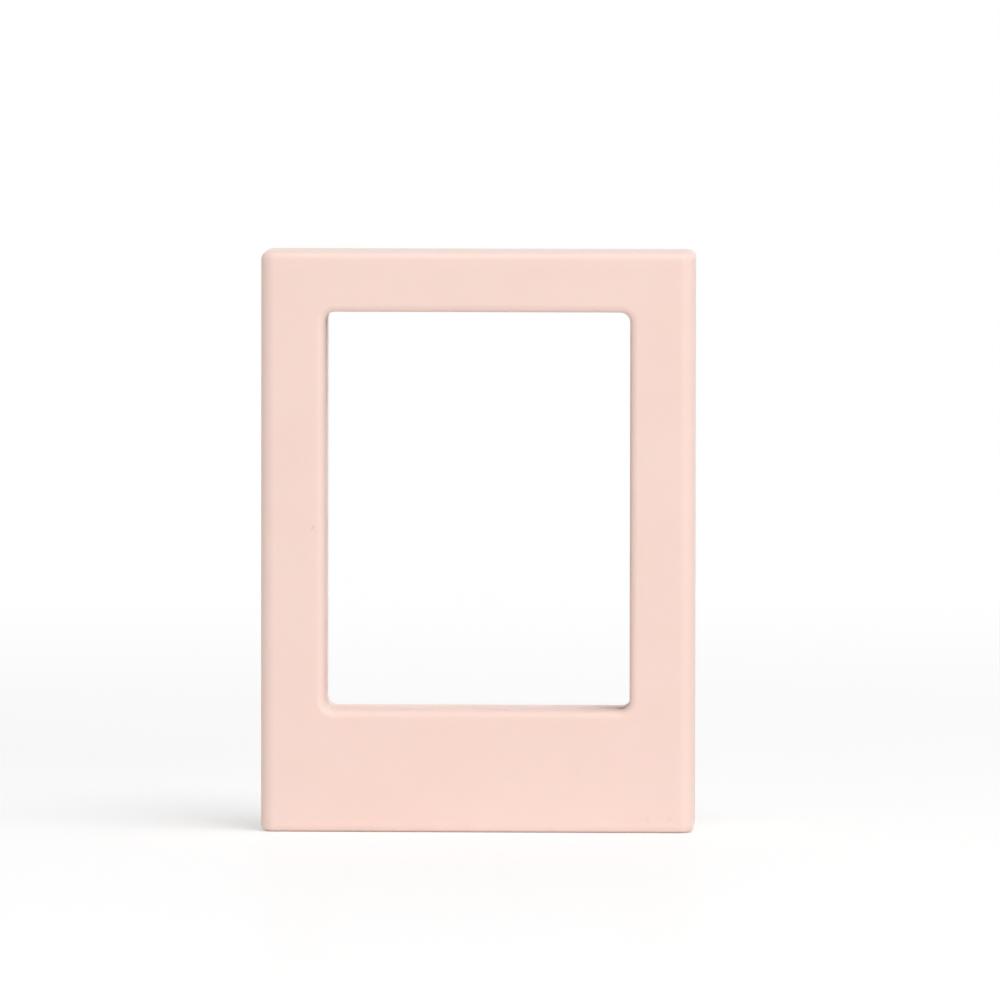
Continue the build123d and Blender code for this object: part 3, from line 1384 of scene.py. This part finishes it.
@dataclass
class PhotoCamera:
    """Camera of the photograph, far away with a long lens. Its angles are in degrees."""

    azimuth: float = 1.95
    elevation: float = 3.385
    roll: float = 0.08
    distance: float = 2.5
    field_width: float = 159.08 * MM
    aim_across: float = 3.655 * MM
    aim_up: float = 53.105 * MM
    clip_start: float = 0.1
    clip_end: float = 100.0

    def build(self, face: float) -> bpy.types.Object:
        """Makes the scene's camera.

        Args:
            face: Depth of the front face, in whose plane the camera's aim lies.

        Returns:
            The camera.
        """
        data = bpy.data.cameras.new("camera")
        data.lens = data.sensor_width * self.distance / self.field_width
        data.clip_start, data.clip_end = self.clip_start, self.clip_end
        camera = linked("camera", data)
        outwards = direction(self.azimuth, self.elevation)
        camera.location = Vector((self.aim_across, -face, self.aim_up)) + outwards * self.distance
        level = (-outwards).to_track_quat("-Z", "Y").to_matrix()
        tilted = level @ Matrix.Rotation(math.radians(self.roll), 3, "Z")
        camera.rotation_euler = tilted.to_euler()
        bpy.context.scene.camera = camera
        return camera


@dataclass
class Studio:
    """White table, white surroundings and soft lamps.

    The table keeps the frame's shadow under a thin veil of white. Between the distances clear_from and
    clear_to it turns plain white. Glow, veil and white show to the camera, also in a gloss and through
    clear plastic, and add no other light.
    """

    table_size: float = 40.0
    table_colour: Colour = linear(253, 253, 253)
    table_roughness: float = 0.6
    gloss_share: float = 0.03
    gloss_roughness: float = 0.2
    surround: float = 0.42
    glow: float = 0.1
    veil: float = 0.2
    clear_from: float = 0.12
    clear_to: float = 0.6
    lamps: tuple[SoftLamp, ...] = (
        SoftLamp("front_lamp", azimuth=24, elevation=18, distance=2.2, size=1.0, power=11.5),
        SoftLamp("top_lamp", azimuth=40, elevation=66, distance=1.8, size=1.2, power=14.8),
    )

    def build(self, target: Vector) -> None:
        """Makes the table, the world and the lamps.

        Args:
            target: The point that the lamps look at.
        """
        self.table()
        self.world()
        for lamp in self.lamps:
            lamp.build(target)

    def table(self) -> None:
        """Makes the table top under the frame."""
        reach = self.table_size / 2
        corners = [(x * reach, y * reach, 0.0) for x, y in ((-1, -1), (1, -1), (1, 1), (-1, 1))]
        mesh = bpy.data.meshes.new("table_top")
        mesh.from_pydata(corners, [], [(0, 1, 2, 3)])
        mesh.materials.append(self.table_material())
        linked("table_top", mesh)

    def table_material(self) -> bpy.types.Material:
        """Makes white lacquer that keeps the frame's shadow and fades to plain white further off.

        Returns:
            The finished material.
        """
        constants = {"Base Color": opaque(self.table_colour), "Roughness": self.table_roughness}
        shader = Shader("white_table", constants)
        inputs = {0: shader.place}
        far = shader.add("ShaderNodeVectorMath", inputs, operation="LENGTH").outputs["Value"]
        seen = shader.seen()
        fade = shader.smooth_step(far, self.clear_from, self.clear_to)
        fade = shader.math("MULTIPLY_ADD", fade, 1.0 - self.veil, self.veil)
        share = shader.math("MULTIPLY", seen, fade)
        glow = shader.add("ShaderNodeEmission", {"Strength": shader.math("MULTIPLY", seen, self.glow)})
        inputs = {0: shader.principled.outputs[0], 1: glow.outputs[0]}
        near = shader.add("ShaderNodeAddShader", inputs).outputs[0]
        white = shader.add("ShaderNodeEmission", {"Strength": 1.0}).outputs[0]
        lacquer = shader.add("ShaderNodeMixShader", {0: share, 1: near, 2: white}).outputs[0]
        inputs = {"Color": opaque(WHITE), "Roughness": self.gloss_roughness}
        gloss = shader.add("ShaderNodeBsdfGlossy", inputs).outputs[0]
        top = shader.add("ShaderNodeMixShader", {0: self.gloss_share, 1: lacquer, 2: gloss})
        shader.feed(shader.output.inputs["Surface"], top.outputs[0])
        return shader.material

    def world(self) -> None:
        """Makes even surroundings that light the frame softly and look white."""
        world = bpy.data.worlds.new("white_surroundings")
        world.use_nodes = True
        nodes = Tree(world.node_tree)
        nodes.tree.nodes.clear()
        strength = nodes.math("MULTIPLY_ADD", nodes.seen(), 1.0 - self.surround, self.surround)
        inputs = {"Color": opaque(WHITE), "Strength": strength}
        sky = nodes.add("ShaderNodeBackground", inputs).outputs[0]
        nodes.add("ShaderNodeOutputWorld", {"Surface": sky})
        bpy.context.scene.world = world


SHELL_PLASTIC = SatinPlastic(
    name="satin_pink_plastic",
    colour=linear(247, 217, 206),
    pale=linear(249, 220, 211),
    # Paler edge colour, painted on as a highlight.
    edge_highlight_colour=linear(251, 223, 214),
    roughness=0.42,
    grain=0.16 * MM,
    relief=0.006 * MM,
    mottle=14 * MM,
    mottling=0.5,
    edge_highlight=0.35,
    marks=(
        Mark(across=-26.1 * MM, up=48.6 * MM, length=1.2 * MM, width=0.35 * MM, lean=-0.6, depth=0.35),
        Mark(across=27.25 * MM, up=2.3 * MM, length=1.0 * MM, width=0.8 * MM, depth=0.13),
        Mark(across=30.75 * MM, up=2.3 * MM, length=1.0 * MM, width=0.8 * MM, depth=0.13),
    ),
)

LINER_PLASTIC = SatinPlastic(
    name="matte_pink_plastic",
    colour=linear(243, 208, 197),
    pale=linear(246, 213, 203),
    edge_highlight_colour=linear(246, 214, 204),
    roughness=0.6,
    grain=0.22 * MM,
    relief=0.014 * MM,
    mottle=9 * MM,
    mottling=0.6,
    edge_highlight=0.0,
)


def build_finishes(outer: Block) -> dict[Slot, bpy.types.Material]:
    """Builds the shared effects once, and the material of each slot from them.

    Args:
        outer: Box of the outer shell.

    Returns:
        The material of each slot.
    """
    effects = {
        "grain": moulded_grain(),
        # Mask of the painted edge highlight and of the glossier edges.
        "edge_highlight": edge_highlight_mask(),
        "mark": small_mark(),
        "hairlines": rubbed_hairlines(),
    }
    return {
        Slot.SHELL: SHELL_PLASTIC.material(effects, outer),
        Slot.LINER: LINER_PLASTIC.material(effects, outer),
        Slot.PANE: ClearAcrylic().material(effects),
        Slot.MAGNET: NickelPlate().material(effects),
    }


def main() -> None:
    """Builds and dresses every piece of the frame, and then its stage."""
    outer = Block.of(Half.FRONT.node("shell"))
    finishes = build_finishes(outer)
    for half in Half:
        pieces = [MouldedShell(half).build(finishes[Slot.SHELL])]
        pieces += DressedNodes(half).build(finishes)
        pieces.append(PinMarks(half).build(finishes[Slot.LINER]))
        for piece in pieces:
            log.info("%s has %d faces", piece.name, len(piece.data.polygons))
    PhotoCamera().build(outer.far)
    Studio().build(Vector((0.0, 0.0, outer.top / 2)))
    bpy.context.scene.view_settings.view_transform = "Standard"


if __name__ == "__main__":
    logging.basicConfig(level=logging.INFO, format="%(name)s: %(message)s")
    main()
